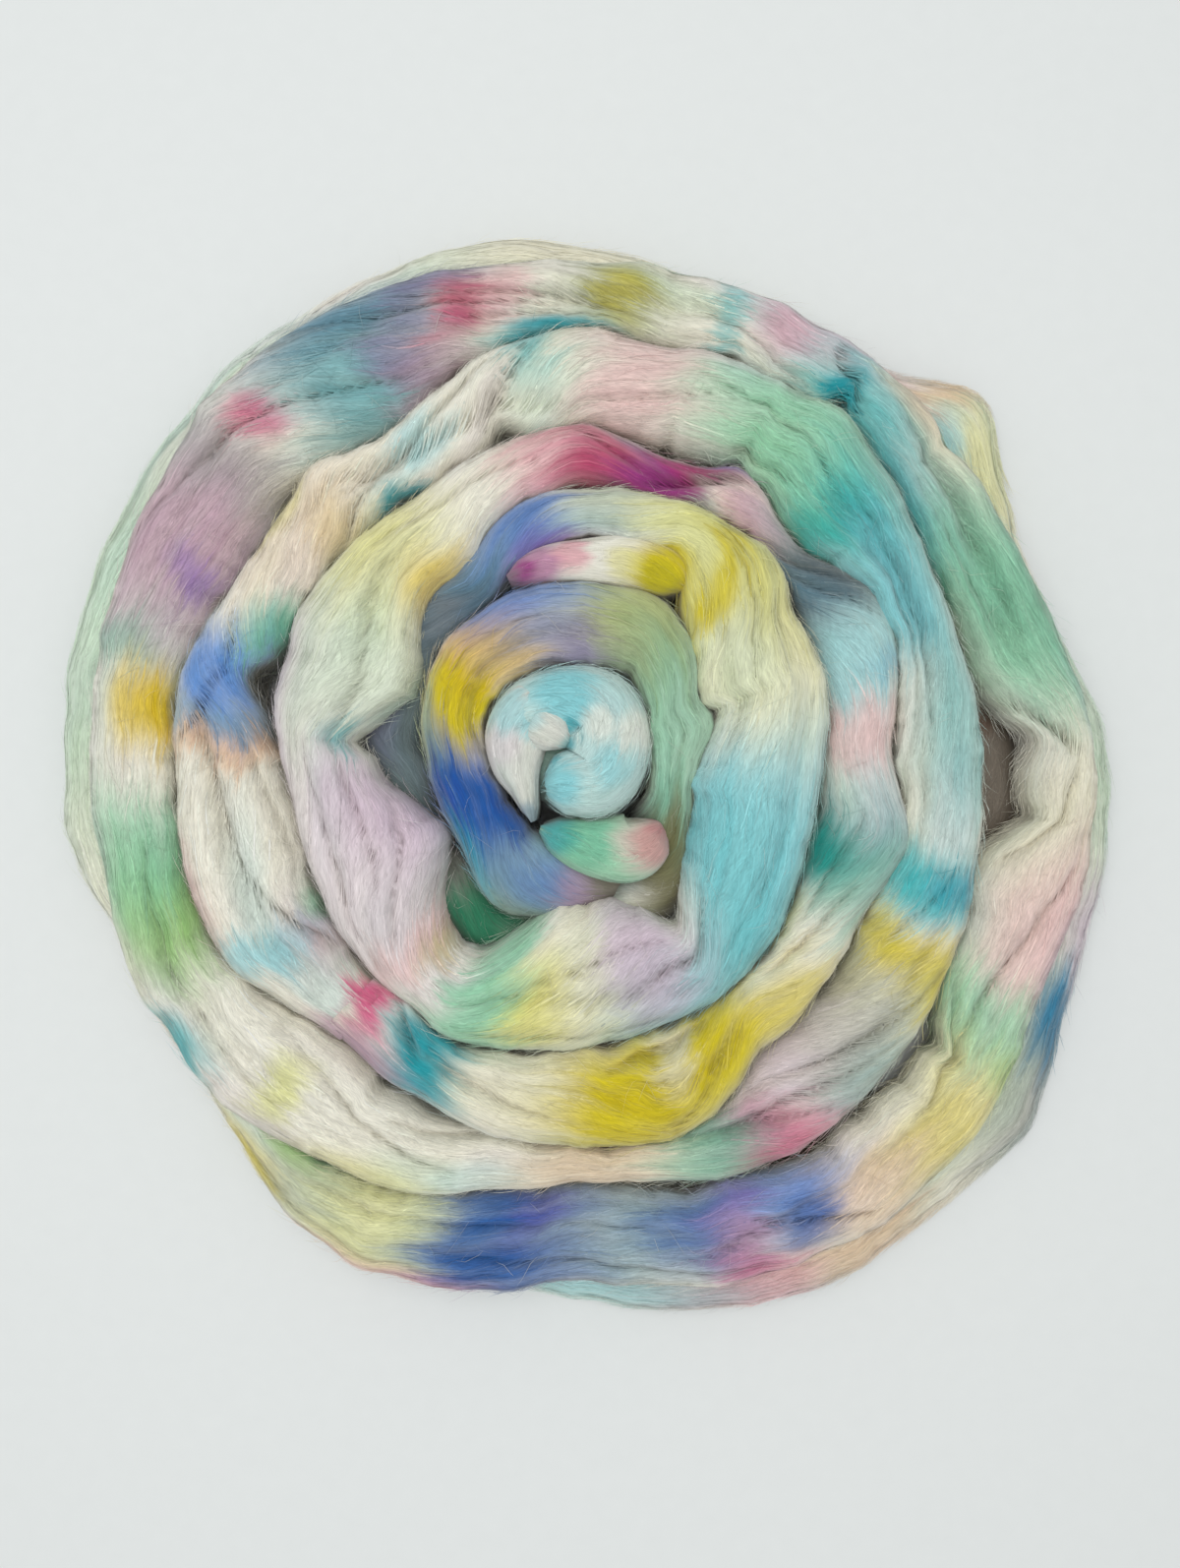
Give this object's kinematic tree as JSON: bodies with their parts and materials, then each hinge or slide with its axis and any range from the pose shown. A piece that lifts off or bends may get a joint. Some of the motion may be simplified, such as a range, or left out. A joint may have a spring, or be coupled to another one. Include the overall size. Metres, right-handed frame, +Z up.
{
  "type": "wool roving",
  "caption": "Hand-dyed combed wool roving wound into a loose flat nest, pastel dye patches on natural white fibre, ready to spin or felt.",
  "frame": {"origin": "middle of the nest's outline, on the surface it lies on", "axes": "+Z up out of the surface, +Y towards the top of the picture, so that the wispy loose end lies at the upper right seen from above"},
  "size_m": [0.4451, 0.4554, 0.0782],
  "materials": {
    "wool": "soft combed wool, matt with a faint sheen"
  },
  "bodies": {
    "root": {"roving": "wool"}
  },
  "joints": []
}
